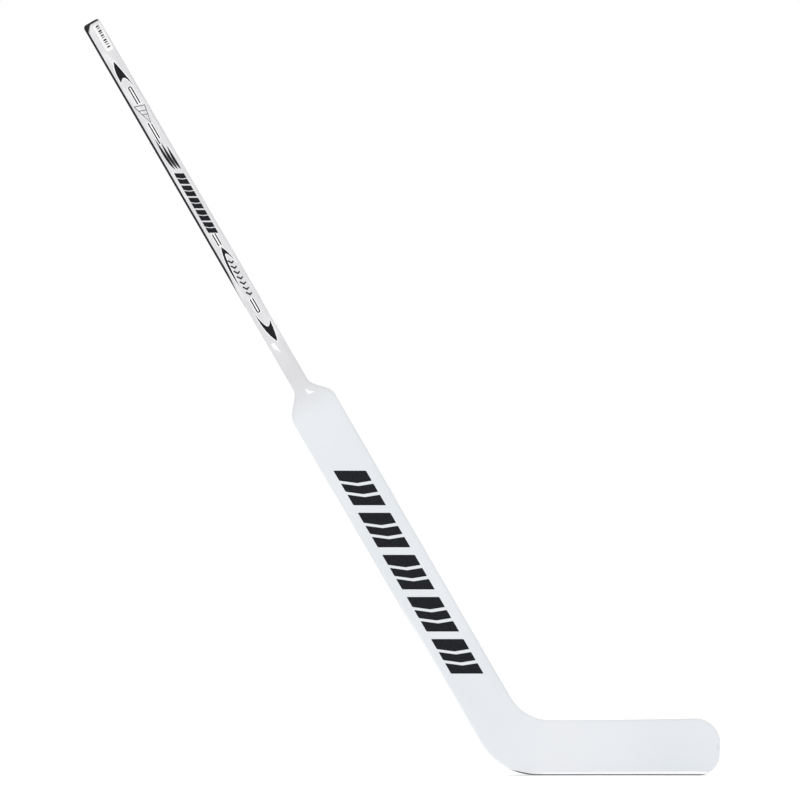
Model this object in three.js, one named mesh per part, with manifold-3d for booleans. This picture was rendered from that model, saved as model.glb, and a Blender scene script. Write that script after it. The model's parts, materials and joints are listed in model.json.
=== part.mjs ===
// A goaltender's ice hockey stick: a laminated wooden shaft that runs down as the spine of a
// foam-filled paddle, a hardwood heel block, a foam-cored blade, and glass-fibre skins over them.
//
// Millimetres. +Z is up, +X points to the blade's toe, -Y is the front face, which meets the puck.
// The shape is drawn from where the shaft's centre line would meet the ice, and the finished stick
// is then moved so that its origin is on the flat of the sole, at the heel end of the blade.

import * as THREE from 'three';
import { mergeVertices } from 'three/addons/utils/BufferGeometryUtils.js';
import Module from 'manifold-3d';

// Driving dimensions
const LEAN = THREE.MathUtils.degToRad( 30.1 ); // shaft from the vertical, its butt leaning back
const BUTT_HEIGHT = 1359; // heights are measured along the shaft's centre line, from the ice
const SHAFT_WIDTH = 27.5;
const SHAFT_DEPTH = 20;
const PADDLE_WIDTH = 79;
const PADDLE_DEPTH = 21;
const HEEL_DEPTH = 24;
const BLADE_HEIGHT = 86;
const TOE_FLARE = 4; // how much taller the blade is at its toe than at the heel
const TOE_X = 302; // from where the shaft's centre line meets the ice
const TOE_DEPTH = 12;
const TOE_BOW = 14; // how far the toe curves forward

// The shoulders, where the shaft widens to the paddle: heights where each edge starts and ends
const OUTER_SHOULDER = { top: 704, foot: 660 };
const INNER_SHOULDER = { top: 708, foot: 668 };
const WRAP_TOP = 716; // upper end of the paddle's glass-fibre skins
const BLOCK_START = 0.3; // how far down its shoulder each hardwood block starts, from 0 to 1
const BLOCK_FOOT = 628; // lower end of the shoulder blocks
const MOUTH = 5; // how far a cut for a mortise or socket runs past the mouth

// Round stretches of the outline
const HEEL_OUTER_RADIUS = 108;
const HEEL_INNER_RADIUS = 72;
const HEEL_LENGTH = 130; // travel round the bend, midway between its two edges
const TOE_TOP_RADIUS = 40;
const TOE_SOLE_RADIUS = 33;
const ARRIS = 0.3; // long edges that are left sharp inside
const SHAFT_ROUND = 4.5; // rounding of the long edges, seen in cross-section
const PADDLE_ROUND = 7;
const BLADE_TOP_ROUND = 4.5;
const BLADE_SOLE_ROUND = 2.5;

// Inside
const GLUE = 0.3; // glue line between neighbouring pieces
const SKIN = 1.2; // glass-fibre laminate on the paddle and blade
const SHAFT_SKIN = 0.9; // laminate on the wide faces of the shaft
const PLY = 5; // birch ply on each narrow side of the shaft
const EDGE = 8; // hardwood strip along each paddle edge and the blade's top edge
const SOLE = 8; // tough strip round the heel and along the sole
const CORE_HALF = SHAFT_WIDTH / 2 - PLY - GLUE;
const RIB_HALF = 4; // half the height of the rib along the middle of the blade
const RIB_HALF_DEPTH = 2.5;
const RIB_START_X = 4;
const RIB_END_X = 270;
const TENON = { half: 5, halfDepth: 4, foot: 78 }; // lower end of the spine, let into the heel block
const TOE_BLOCK_X = 252;
const SKIN_END_X = 298; // the toe block's tip stands beyond the skins
const CAP_LENGTH = 6;
const CAP_ROUND = 5;
const PLUG = { half: 4.5, halfDepth: 4, length: 16, round: 1 }; // butt cap's plug, in a socket in the core
const LABEL = { length: 46, width: 12, thickness: 0.3, top: 1, offset: 5 };

const ORIGIN_X = 50; // on the flat of the sole, at the heel end of the blade

const STEPS = { corner: 4, shoulder: 8, heel: 14, blade: 10, toe: 7 };

const wasm = await Module();
wasm.setup();

// ---------------------------------------------------------------------------------------------
// Stations: each one is a line across the stick, from its outer edge (the heel's side, then the
// sole) to its inner edge (the other side of the paddle, then the blade's top edge).
// Travel is the distance along the stick from the butt.

const upShaft = new THREE.Vector2( - Math.sin( LEAN ), Math.cos( LEAN ) );
const acrossShaft = new THREE.Vector2( Math.cos( LEAN ), Math.sin( LEAN ) );

const bendTurn = Math.PI / 2 - LEAN;
const bendStart = Math.PI + LEAN;
const bendEnd = 1.5 * Math.PI;

// Where the paddle's edge, offset from the centre line, would meet a level line at height z
function edgeCorner( offset, z ) {

	return ( offset - z * Math.sin( LEAN ) ) / Math.cos( LEAN );

}

// The line down a paddle edge from HEEL_TOP, round the bend, and along the level to endX
function bendPath( offset, z, radius, endX ) {

	const start = pointOnShaft( HEEL_TOP, offset );
	const arcX = edgeCorner( offset, z ) + radius * Math.tan( bendTurn / 2 );
	const path = new THREE.Path();
	path.moveTo( start.x, start.y );
	path.lineTo( arcX + radius * Math.cos( bendStart ), z + radius + radius * Math.sin( bendStart ) );
	path.absarc( arcX, z + radius, radius, bendStart, bendEnd, false );
	path.lineTo( endX, z );
	return path;

}

function pointOnShaft( height, offset ) {

	return upShaft.clone().multiplyScalar( height ).addScaledVector( acrossShaft, offset );

}

// The inner edge's arc starts at HEEL_TOP, where the straight paddle ends, and ends over
// BLADE_START_X, where the blade proper begins
const innerTangent = HEEL_INNER_RADIUS * Math.tan( bendTurn / 2 );
const innerCornerX = edgeCorner( PADDLE_WIDTH / 2, BLADE_HEIGHT );
const BLADE_START_X = innerCornerX + innerTangent;
const HEEL_TOP = BLADE_HEIGHT * Math.cos( LEAN ) - innerCornerX * Math.sin( LEAN ) + innerTangent;
const HEEL_TRAVEL = BUTT_HEIGHT - HEEL_TOP;
const BLADE_TRAVEL = HEEL_TRAVEL + HEEL_LENGTH;
const outerBend = bendPath( - PADDLE_WIDTH / 2, 0, HEEL_OUTER_RADIUS, BLADE_START_X );
const innerBend = bendPath( PADDLE_WIDTH / 2, BLADE_HEIGHT, HEEL_INNER_RADIUS, BLADE_START_X );

function shoulderWidth( height, shoulder ) {

	const spread = 1 - THREE.MathUtils.smoothstep( height, shoulder.foot, shoulder.top );
	return THREE.MathUtils.lerp( SHAFT_WIDTH, PADDLE_WIDTH, spread ) / 2;

}

function shaftStation( height ) {

	const outerHalf = shoulderWidth( height, OUTER_SHOULDER );
	const innerHalf = shoulderWidth( height, INNER_SHOULDER );
	const spread = 1 - THREE.MathUtils.smoothstep( height, OUTER_SHOULDER.foot, WRAP_TOP );
	const round = THREE.MathUtils.lerp( SHAFT_ROUND, PADDLE_ROUND, spread );
	return {
		outer: pointOnShaft( height, - outerHalf ),
		inner: pointOnShaft( height, innerHalf ),
		centre: outerHalf,
		depth: THREE.MathUtils.lerp( SHAFT_DEPTH, PADDLE_DEPTH, spread ),
		bow: 0,
		outerRound: round,
		innerRound: round,
	};

}

function heelStation( along ) {

	const swell = Math.sin( Math.PI * along / 2 );
	const outer = outerBend.getPointAt( along );
	const inner = innerBend.getPointAt( along );
	return {
		outer,
		inner,
		centre: outer.distanceTo( inner ) / 2,
		depth: THREE.MathUtils.lerp( PADDLE_DEPTH, HEEL_DEPTH, swell ),
		bow: 0,
		outerRound: THREE.MathUtils.lerp( PADDLE_ROUND, BLADE_SOLE_ROUND, along ),
		innerRound: THREE.MathUtils.lerp( PADDLE_ROUND, BLADE_TOP_ROUND, along ),
	};

}

// How far a rounded toe corner draws the outline in at x
function toeDraw( x, radius ) {

	const into = Math.max( 0, x - ( TOE_X - radius ) );
	return radius - Math.sqrt( radius * radius - into * into );

}

function bladeStation( x ) {

	const along = Math.max( 0, ( x - BLADE_START_X ) / ( TOE_X - BLADE_START_X ) );
	const top = BLADE_HEIGHT + TOE_FLARE * along * along - toeDraw( x, TOE_TOP_RADIUS );
	const sole = toeDraw( x, TOE_SOLE_RADIUS );
	return {
		outer: new THREE.Vector2( x, sole ),
		inner: new THREE.Vector2( x, top ),
		centre: BLADE_HEIGHT / 2 - sole,
		depth: THREE.MathUtils.lerp( HEEL_DEPTH, TOE_DEPTH, along ),
		bow: - TOE_BOW * along * along,
		outerRound: BLADE_SOLE_ROUND,
		innerRound: BLADE_TOP_ROUND,
	};

}

function stationAt( travel ) {

	if ( travel <= HEEL_TRAVEL ) return shaftStation( BUTT_HEIGHT - travel );
	if ( travel < BLADE_TRAVEL ) return heelStation( ( travel - HEEL_TRAVEL ) / ( BLADE_TRAVEL - HEEL_TRAVEL ) );
	return bladeStation( BLADE_START_X + travel - BLADE_TRAVEL );

}

const atHeight = ( height ) => BUTT_HEIGHT - height;
const atX = ( x ) => BLADE_TRAVEL + x - BLADE_START_X;

function evenly( from, to, steps ) {

	return Array.from( { length: steps + 1 }, ( _, i ) => THREE.MathUtils.lerp( from, to, i / steps ) );

}

// Travels where the outline bends, so every piece that passes them shares the same facets
const toeAngles = evenly( 0, Math.PI / 2, STEPS.toe );
const bends = [
	...evenly( atHeight( WRAP_TOP ), atHeight( OUTER_SHOULDER.foot ), STEPS.shoulder ),
	...evenly( HEEL_TRAVEL, BLADE_TRAVEL, STEPS.heel ),
	...evenly( BLADE_TRAVEL, atX( TOE_X - TOE_TOP_RADIUS ), STEPS.blade ),
	...toeAngles.map( ( angle ) => atX( TOE_X - TOE_TOP_RADIUS * ( 1 - Math.sin( angle ) ) ) ),
];

const SHORTEST_FACET = 0.5;

function stationsBetween( from, to ) {

	const travels = [ from ];
	for ( const travel of bends ) {

		const clear = travel > travels.at( - 1 ) + SHORTEST_FACET && travel < to - SHORTEST_FACET;
		if ( clear ) travels.push( travel );

	}

	return [ ...travels, to ].map( stationAt );

}

// ---------------------------------------------------------------------------------------------
// Sections: outlines in the plane of a station, as [ distance in from the outer edge, depth ]

const widthOf = ( station ) => station.outer.distanceTo( station.inner );

// Quarter turn from the narrow side (0) to the wide face (1)
function cornerPoints( middle, radius, outward, faceDepth ) {

	return evenly( 0, Math.PI / 2, STEPS.corner ).map( ( angle ) => [
		middle + outward * radius * Math.cos( angle ),
		faceDepth - radius + radius * Math.sin( angle ),
	] );

}

// A block from a to b across the stick, with its own half depth and the rounding of each side
function blockSection( a, b, half, roundA, roundB ) {

	const back = [
		...cornerPoints( a + roundA, roundA, - 1, half ),
		...cornerPoints( b - roundB, roundB, 1, half ).reverse(),
	];
	const front = back.map( ( [ across, depth ] ) => [ across, - depth ] ).reverse();
	return [ ...back, ...front ];

}

function plainSection( a, b, half ) {

	return [ [ a, half ], [ b, half ], [ b, - half ], [ a, - half ] ];

}

// Half of the outline on one side, drawn in by an inset. Where it stops short of the outer edge,
// for the strip along the sole, it starts with a plain edge at that distance.
function halfOutline( station, side, inset, start ) {

	const width = widthOf( station );
	const half = station.depth / 2 - inset;
	const seam = GLUE / 2;
	const innerRound = station.innerRound - inset;
	const outerRound = station.outerRound - inset;
	const outerSide = start > 0
		? [ [ start, half ] ]
		: [ [ inset, seam ], ...cornerPoints( inset + outerRound, outerRound, - 1, half ) ];
	const innerSide = [
		...cornerPoints( width - inset - innerRound, innerRound, 1, half ).reverse(),
		[ width - inset, seam ],
	];
	return [ ...outerSide, ...innerSide ].map( ( [ across, depth ] ) => [ across, side * depth ] );

}

function skinSection( station, side, start = 0 ) {

	return [
		...halfOutline( station, side, 0, start ),
		...halfOutline( station, side, SKIN, start ).reverse(),
	];

}

const under = ( station ) => station.depth / 2 - SKIN - GLUE; // half depth beneath the skins
const coreHalfDepth = SHAFT_DEPTH / 2 - SKIN - GLUE; // the spine keeps one depth all the way down

// ---------------------------------------------------------------------------------------------
// Solids

// A closed solid through the same outline at several stations
function loft( rings ) {

	const count = rings[ 0 ].section.length;
	const positions = [];
	for ( const { station, section } of rings ) {

		const across = station.inner.clone().sub( station.outer ).normalize();
		for ( const [ distance, depth ] of section ) {

			const point = station.outer.clone().addScaledVector( across, distance );
			positions.push( point.x, station.bow + depth, point.y );

		}

	}

	const index = [];
	for ( let ring = 0; ring + 1 < rings.length; ring ++ ) {

		for ( let i = 0; i < count; i ++ ) {

			const here = ring * count + i;
			const next = ring * count + ( i + 1 ) % count;
			index.push( here, here + count, next, next, here + count, next + count );

		}

	}

	index.push( ...capTriangles( rings[ 0 ].section, 0, false ) );
	index.push( ...capTriangles( rings.at( - 1 ).section, ( rings.length - 1 ) * count, true ) );
	const geometry = new THREE.BufferGeometry();
	geometry.setAttribute( 'position', new THREE.Float32BufferAttribute( positions, 3 ) );
	geometry.setIndex( index );
	return facingOut( geometry );

}

function capTriangles( section, first, last ) {

	const outline = section.map( ( [ across, depth ] ) => new THREE.Vector2( across, depth ) );
	const clockwise = THREE.ShapeUtils.isClockWise( outline );
	const triangles = THREE.ShapeUtils.triangulateShape( outline, [] );
	return triangles.flatMap( ( [ a, b, c ] ) => {

		const turned = last === clockwise ? [ a, b, c ] : [ a, c, b ];
		return turned.map( ( i ) => first + i );

	} );

}

// The outline may run either way round, so the faces are turned over where they point inwards
function facingOut( geometry ) {

	const p = geometry.getAttribute( 'position' );
	const index = geometry.getIndex().array;
	const [ a, b, c ] = [ new THREE.Vector3(), new THREE.Vector3(), new THREE.Vector3() ];
	let volume = 0;
	for ( let i = 0; i < index.length; i += 3 ) {

		a.fromBufferAttribute( p, index[ i ] );
		b.fromBufferAttribute( p, index[ i + 1 ] );
		c.fromBufferAttribute( p, index[ i + 2 ] );
		volume += a.dot( b.cross( c ) ) / 6;

	}

	if ( volume < 0 ) index.reverse();
	return geometry;

}

// One section all the way between two travels
function bar( from, to, sectionAt ) {

	const placed = ( station ) => ( { station, section: sectionAt( station ) } );
	return loft( stationsBetween( from, to ).map( placed ) );

}

function toManifold( geometry ) {

	const merged = mergeVertices( geometry, 1e-5 );
	const mesh = new wasm.Mesh( {
		numProp: 3,
		vertProperties: new Float32Array( merged.getAttribute( 'position' ).array ),
		triVerts: new Uint32Array( merged.getIndex().array ),
	} );
	return new wasm.Manifold( mesh );

}

function cutFrom( geometry, ...tools ) {

	let solid = toManifold( geometry );
	for ( const tool of tools ) solid = solid.subtract( toManifold( tool ) );
	const mesh = solid.getMesh();
	const result = new THREE.BufferGeometry();
	result.setAttribute( 'position', new THREE.Float32BufferAttribute( mesh.vertProperties, 3 ) );
	result.setIndex( Array.from( mesh.triVerts ) );
	return result;

}

// A straight peg on the shaft's centre line, for tenons, plugs and the sockets they sit in
function centrePeg( topHeight, footHeight, half, halfDepth ) {

	return loft( [ topHeight, footHeight ].map( ( height ) => {

		const station = shaftStation( height );
		return { station, section: plainSection( station.centre - half, station.centre + half, halfDepth ) };

	} ) );

}

// The rib along the middle of the blade, or the slot for it when it is made larger by a margin
function ribSolid( margin ) {

	const inBlade = evenly( BLADE_START_X, RIB_END_X + margin, STEPS.blade );
	return loft( [ RIB_START_X - margin, ...inBlade ].map( ( x ) => {

		const station = bladeStation( x );
		return {
			station,
			section: plainSection(
				station.centre - RIB_HALF - margin,
				station.centre + RIB_HALF + margin,
				RIB_HALF_DEPTH + margin
			),
		};

	} ) );

}

// ---------------------------------------------------------------------------------------------
// Pieces

const capFoot = BUTT_HEIGHT - CAP_LENGTH;
const barTop = capFoot - GLUE;
const coreFoot = HEEL_TOP + GLUE;

function buttCap() {

	const rounded = evenly( Math.PI / 2, 0, STEPS.corner ).map( ( angle ) => ( {
		height: BUTT_HEIGHT - CAP_ROUND + CAP_ROUND * Math.cos( angle ),
		inset: CAP_ROUND * ( 1 - Math.sin( angle ) ),
	} ) );
	const outside = [ { height: capFoot, inset: 0 }, ...rounded ].map( ( { height, inset } ) => {

		const station = shaftStation( height );
		return {
			station,
			section: blockSection(
				inset,
				SHAFT_WIDTH - inset,
				SHAFT_DEPTH / 2 - inset,
				SHAFT_ROUND,
				SHAFT_ROUND
			),
		};

	} );
	const plugStart = shaftStation( capFoot );
	const plugEnd = shaftStation( capFoot - PLUG.length );
	const plug = blockSection(
		SHAFT_WIDTH / 2 - PLUG.half,
		SHAFT_WIDTH / 2 + PLUG.half,
		PLUG.halfDepth,
		PLUG.round,
		PLUG.round
	);
	return loft( [
		{ station: plugEnd, section: plug },
		{ station: plugStart, section: plug },
		...outside,
	] );

}

function shaftCore() {

	const wide = ( station ) => plainSection(
		station.centre - CORE_HALF,
		station.centre + CORE_HALF,
		coreHalfDepth
	);
	const narrow = ( station ) => plainSection(
		station.centre - TENON.half,
		station.centre + TENON.half,
		TENON.halfDepth
	);
	const top = shaftStation( barTop );
	const shoulder = shaftStation( coreFoot );
	const foot = shaftStation( TENON.foot );
	const spine = loft( [
		{ station: top, section: wide( top ) },
		{ station: shoulder, section: wide( shoulder ) },
		{ station: shoulder, section: narrow( shoulder ) },
		{ station: foot, section: narrow( foot ) },
	] );
	const socket = centrePeg(
		barTop + MOUTH,
		capFoot - PLUG.length - GLUE,
		PLUG.half + GLUE,
		PLUG.halfDepth + GLUE
	);
	return cutFrom( spine, socket );

}

function plySection( station, side, reach, half, round ) {

	const near = station.centre + side * reach;
	const far = station.centre + side * ( SHAFT_WIDTH / 2 - PLY );
	return side < 0
		? blockSection( near, far, half, round, ARRIS )
		: blockSection( far, near, half, ARRIS, round );

}

// A ply is rounded on the shaft, then planed flat and thinner where the paddle is built round it
function shaftPly( side ) {

	const round = ( station ) => {

		return plySection( station, side, SHAFT_WIDTH / 2, SHAFT_DEPTH / 2, SHAFT_ROUND );

	};
	const planed = ( station ) => {

		const cover = SKIN + GLUE;
		return plySection( station, side, SHAFT_WIDTH / 2 - cover, coreHalfDepth, SHAFT_ROUND - cover );

	};
	const top = shaftStation( barTop );
	const step = shaftStation( WRAP_TOP + GLUE );
	const foot = shaftStation( coreFoot );
	return loft( [
		{ station: top, section: round( top ) },
		{ station: step, section: round( step ) },
		{ station: step, section: planed( step ) },
		{ station: foot, section: planed( foot ) },
	] );

}

function shaftSkin( side ) {

	const from = atHeight( barTop );
	const to = atHeight( WRAP_TOP + GLUE );
	const low = SHAFT_DEPTH / 2 - SHAFT_SKIN;
	return bar( from, to, ( station ) => {

		const a = station.centre - SHAFT_WIDTH / 2 + PLY + GLUE;
		const b = station.centre + SHAFT_WIDTH / 2 - PLY - GLUE;
		const high = SHAFT_DEPTH / 2;
		return [ [ a, side * low ], [ b, side * low ], [ b, side * high ], [ a, side * high ] ];

	} );

}

function buttLabel() {

	const from = atHeight( barTop - LABEL.top );
	const low = - SHAFT_DEPTH / 2 - GLUE;
	const high = low - LABEL.thickness;
	return bar( from, from + LABEL.length, ( station ) => {

		const middle = station.centre + LABEL.offset;
		const a = middle - LABEL.width / 2;
		const b = middle + LABEL.width / 2;
		return [ [ a, low ], [ b, low ], [ b, high ], [ a, high ] ];

	} );

}

function paddleSkin( side ) {

	return bar( atHeight( WRAP_TOP ), HEEL_TRAVEL - GLUE / 2, ( station ) => skinSection( station, side ) );

}

function heelSkin( side ) {

	const section = ( station ) => skinSection( station, side, SOLE + GLUE );
	return bar( HEEL_TRAVEL + GLUE / 2, BLADE_TRAVEL - GLUE / 2, section );

}

function bladeSkin( side ) {

	const section = ( station ) => skinSection( station, side, SOLE + GLUE );
	return bar( BLADE_TRAVEL + GLUE / 2, atX( SKIN_END_X ), section );

}

// Height on a shoulder where the paddle has become wide enough to hold a block of some thickness
function blockTop( shoulder ) {

	return THREE.MathUtils.lerp( shoulder.top, shoulder.foot, BLOCK_START );

}

const plyFace = SHAFT_WIDTH / 2 - SKIN; // where a side piece of the paddle starts from the centre

function shoulderBlock( side ) {

	const shoulder = side < 0 ? OUTER_SHOULDER : INNER_SHOULDER;
	const from = atHeight( blockTop( shoulder ) );
	return bar( from, atHeight( BLOCK_FOOT ), ( station ) => {

		const round = station.outerRound - SKIN - GLUE;
		const outermost = SKIN + GLUE;
		const innermost = widthOf( station ) - SKIN - GLUE;
		return side < 0
			? blockSection( outermost, station.centre - plyFace, under( station ), round, ARRIS )
			: blockSection( station.centre + plyFace, innermost, under( station ), ARRIS, round );

	} );

}

function paddleEdge( side ) {

	return bar( atHeight( BLOCK_FOOT ) + GLUE, HEEL_TRAVEL - GLUE / 2, ( station ) => {

		const width = widthOf( station );
		const round = station.outerRound - SKIN - GLUE;
		return side < 0
			? blockSection( SKIN + GLUE, EDGE, under( station ), round, ARRIS )
			: blockSection( width - EDGE, width - SKIN - GLUE, under( station ), ARRIS, round );

	} );

}

function paddleFoam( side ) {

	return bar( atHeight( BLOCK_FOOT ) + GLUE, HEEL_TRAVEL - GLUE / 2, ( station ) => {

		const width = widthOf( station );
		return side < 0
			? plainSection( EDGE + GLUE, station.centre - plyFace, under( station ) )
			: plainSection( station.centre + plyFace, width - EDGE - GLUE, under( station ) );

	} );

}

function heelBlock() {

	const block = bar( HEEL_TRAVEL + GLUE / 2, BLADE_TRAVEL - GLUE / 2, ( station ) => blockSection(
		SOLE + GLUE,
		widthOf( station ) - SKIN - GLUE,
		under( station ),
		ARRIS,
		station.innerRound - SKIN - GLUE
	) );
	const mortise = centrePeg(
		HEEL_TOP + MOUTH,
		TENON.foot - GLUE,
		TENON.half + GLUE,
		TENON.halfDepth + GLUE
	);
	return cutFrom( block, mortise, ribSolid( GLUE ) );

}

function soleStrip() {

	return bar( HEEL_TRAVEL + GLUE / 2, atX( SKIN_END_X ), ( station ) => blockSection(
		0,
		SOLE,
		station.depth / 2,
		station.outerRound,
		ARRIS
	) );

}

function bladeTopEdge() {

	return bar( BLADE_TRAVEL + GLUE / 2, atX( TOE_BLOCK_X ) - GLUE, ( station ) => {

		const width = widthOf( station );
		const round = station.innerRound - SKIN - GLUE;
		return blockSection( width - EDGE, width - SKIN - GLUE, under( station ), ARRIS, round );

	} );

}

function bladeFoam( upper ) {

	return bar( BLADE_TRAVEL + GLUE / 2, atX( TOE_BLOCK_X ) - GLUE, ( station ) => {

		const half = under( station );
		return upper
			? plainSection( station.centre + RIB_HALF + GLUE, widthOf( station ) - EDGE - GLUE, half )
			: plainSection( SOLE + GLUE, station.centre - RIB_HALF - GLUE, half );

	} );

}

function toeBlock() {

	const covered = ( station ) => blockSection(
		SOLE + GLUE,
		widthOf( station ) - SKIN - GLUE,
		under( station ),
		ARRIS,
		station.innerRound - SKIN - GLUE
	);
	const bare = ( station ) => blockSection(
		0,
		widthOf( station ),
		station.depth / 2,
		station.outerRound,
		station.innerRound
	);
	const body = stationsBetween( atX( TOE_BLOCK_X ), atX( SKIN_END_X + GLUE ) );
	const tip = stationsBetween( atX( SKIN_END_X + GLUE ), atX( TOE_X ) );
	const block = loft( [
		...body.map( ( station ) => ( { station, section: covered( station ) } ) ),
		...tip.map( ( station ) => ( { station, section: bare( station ) } ) ),
	] );
	return cutFrom( block, ribSolid( GLUE ) );

}

// ---------------------------------------------------------------------------------------------
// Materials and assembly

const lacquer = { color: 0xe2e5ea, roughness: 0.2, metalness: 0.1 };
const paint = { color: 0xf0f3f6, roughness: 0.25, metalness: 0 };
const black = { color: 0x16161a, roughness: 0.4, metalness: 0 };
const soleGrey = { color: 0x6e7074, roughness: 0.5, metalness: 0 };
const aspen = { color: 0xe0cda4, roughness: 0.7, metalness: 0 };
const birch = { color: 0xd2b483, roughness: 0.65, metalness: 0 };
const ash = { color: 0xc9a671, roughness: 0.65, metalness: 0 };
const foam = { color: 0xe9e2c8, roughness: 0.9, metalness: 0 };
const paper = { color: 0xf6f6f4, roughness: 0.6, metalness: 0 };

const OUTER = - 1;
const INNER = 1;
const FRONT = - 1;
const BACK = 1;

const pieces = [
	[ 'butt_cap', buttCap(), black ],
	[ 'butt_label', buttLabel(), paper ],
	[ 'shaft_core', shaftCore(), aspen ],
	[ 'shaft_outer_ply', shaftPly( OUTER ), birch ],
	[ 'shaft_inner_ply', shaftPly( INNER ), birch ],
	[ 'shaft_front_skin', shaftSkin( FRONT ), lacquer ],
	[ 'shaft_back_skin', shaftSkin( BACK ), lacquer ],
	[ 'outer_shoulder_block', shoulderBlock( OUTER ), ash ],
	[ 'inner_shoulder_block', shoulderBlock( INNER ), ash ],
	[ 'paddle_outer_foam', paddleFoam( OUTER ), foam ],
	[ 'paddle_inner_foam', paddleFoam( INNER ), foam ],
	[ 'paddle_outer_edge', paddleEdge( OUTER ), ash ],
	[ 'paddle_inner_edge', paddleEdge( INNER ), ash ],
	[ 'paddle_front_skin', paddleSkin( FRONT ), paint ],
	[ 'paddle_back_skin', paddleSkin( BACK ), paint ],
	[ 'heel_block', heelBlock(), ash ],
	[ 'heel_front_skin', heelSkin( FRONT ), paint ],
	[ 'heel_back_skin', heelSkin( BACK ), paint ],
	[ 'blade_upper_foam', bladeFoam( true ), foam ],
	[ 'blade_lower_foam', bladeFoam( false ), foam ],
	[ 'blade_rib', ribSolid( 0 ), birch ],
	[ 'blade_top_edge', bladeTopEdge(), ash ],
	[ 'sole_strip', soleStrip(), soleGrey ],
	[ 'toe_block', toeBlock(), ash ],
	[ 'blade_front_skin', bladeSkin( FRONT ), paint ],
	[ 'blade_back_skin', bladeSkin( BACK ), paint ],
];

const stick = new THREE.Group();
stick.name = 'goaltender_stick';
stick.position.x = - ORIGIN_X;
for ( const [ name, geometry, look ] of pieces ) {

	const mesh = new THREE.Mesh( geometry, new THREE.MeshStandardMaterial( look ) );
	mesh.name = name;
	stick.add( mesh );

}

export default stick;
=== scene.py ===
"""A goaltender's ice hockey stick, finished over its CAD frame.

Metres, in the CAD model's frame: +Z up, +X to the blade's toe, -Y the front face.
The laminates, the sole strip and the shaft's plies are rebuilt as fine smooth pieces, the printed
marks and two painted highlights are thin films of ink on the faces, and the wood and foam inside
stay as the CAD made them.
"""

import json
import math
from collections import namedtuple

import bmesh
import bpy
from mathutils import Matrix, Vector


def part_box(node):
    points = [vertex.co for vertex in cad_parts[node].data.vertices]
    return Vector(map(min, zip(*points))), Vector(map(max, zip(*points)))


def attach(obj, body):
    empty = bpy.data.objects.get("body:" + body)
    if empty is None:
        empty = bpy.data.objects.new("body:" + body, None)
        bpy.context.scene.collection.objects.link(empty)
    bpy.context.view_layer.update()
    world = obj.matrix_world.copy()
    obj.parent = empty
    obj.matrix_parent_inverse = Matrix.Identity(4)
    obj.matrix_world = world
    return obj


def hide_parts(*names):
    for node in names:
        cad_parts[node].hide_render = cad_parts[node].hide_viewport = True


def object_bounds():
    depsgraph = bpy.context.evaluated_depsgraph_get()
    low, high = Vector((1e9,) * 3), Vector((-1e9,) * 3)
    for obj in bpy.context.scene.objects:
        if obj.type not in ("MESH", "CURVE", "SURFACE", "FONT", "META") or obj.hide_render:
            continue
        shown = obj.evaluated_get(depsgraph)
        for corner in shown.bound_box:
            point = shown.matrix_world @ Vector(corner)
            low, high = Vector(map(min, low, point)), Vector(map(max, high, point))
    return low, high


MM = 0.001

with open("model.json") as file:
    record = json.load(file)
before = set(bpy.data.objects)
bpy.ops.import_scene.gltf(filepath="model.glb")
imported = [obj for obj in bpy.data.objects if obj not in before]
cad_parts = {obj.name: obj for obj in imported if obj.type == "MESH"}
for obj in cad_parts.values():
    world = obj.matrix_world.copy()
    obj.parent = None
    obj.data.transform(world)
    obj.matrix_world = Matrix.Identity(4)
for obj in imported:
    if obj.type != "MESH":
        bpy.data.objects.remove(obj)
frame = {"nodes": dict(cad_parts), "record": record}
cad_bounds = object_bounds()


# ---------------------------------------------------------------------------------------------
# The stick's lines, measured on the CAD model


def reach(node, direction):
    """The lowest and highest distance of a CAD node's corners along a direction."""
    distances = [vertex.co.dot(direction) for vertex in frame["nodes"][node].data.vertices]
    return min(distances), max(distances)


def butt_direction():
    mount = next(m for m in frame["record"]["mounts"] if m["name"] == "butt_end")
    return Vector(mount["axis"])


UP = butt_direction()  # along the shaft, towards its butt
ACROSS = Vector((UP.z, 0, -UP.x))  # from the heel's side of the shaft to the toe's side
LEAN = math.atan2(-UP.x, UP.z)  # of the shaft, from the vertical

cap_across = reach("butt_cap", ACROSS)
FOOT_X = sum(cap_across) / 2 / math.cos(LEAN)  # where the shaft's centre line meets the ice
FOOT_LEVEL = -FOOT_X * math.sin(LEAN)  # of that point along UP


def shaft_heights(node):
    """The lowest and highest height of a CAD node along the shaft's centre line, from the ice."""
    low, high = reach(node, UP)
    return low - FOOT_LEVEL, high - FOOT_LEVEL


CAP_FOOT = shaft_heights("butt_label")[1] + 1.3 * MM
BUTT_HEIGHT = shaft_heights("butt_cap")[1]
HEEL_TOP, WRAP_TOP = shaft_heights("paddle_front_skin")
SHAFT_WIDTH = cap_across[1] - cap_across[0]
SHAFT_DEPTH = 2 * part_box("butt_cap")[1].y
paddle_across = reach("paddle_front_skin", ACROSS)
PADDLE_WIDTH = paddle_across[1] - paddle_across[0]
PADDLE_DEPTH = 2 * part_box("paddle_back_skin")[1].y
HEEL_DEPTH = 2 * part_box("heel_back_skin")[1].y
BLADE_START_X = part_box("blade_back_skin")[0].x
TOE_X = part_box("toe_block")[1].x
TOE_BLOCK_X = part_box("toe_block")[0].x

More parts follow.
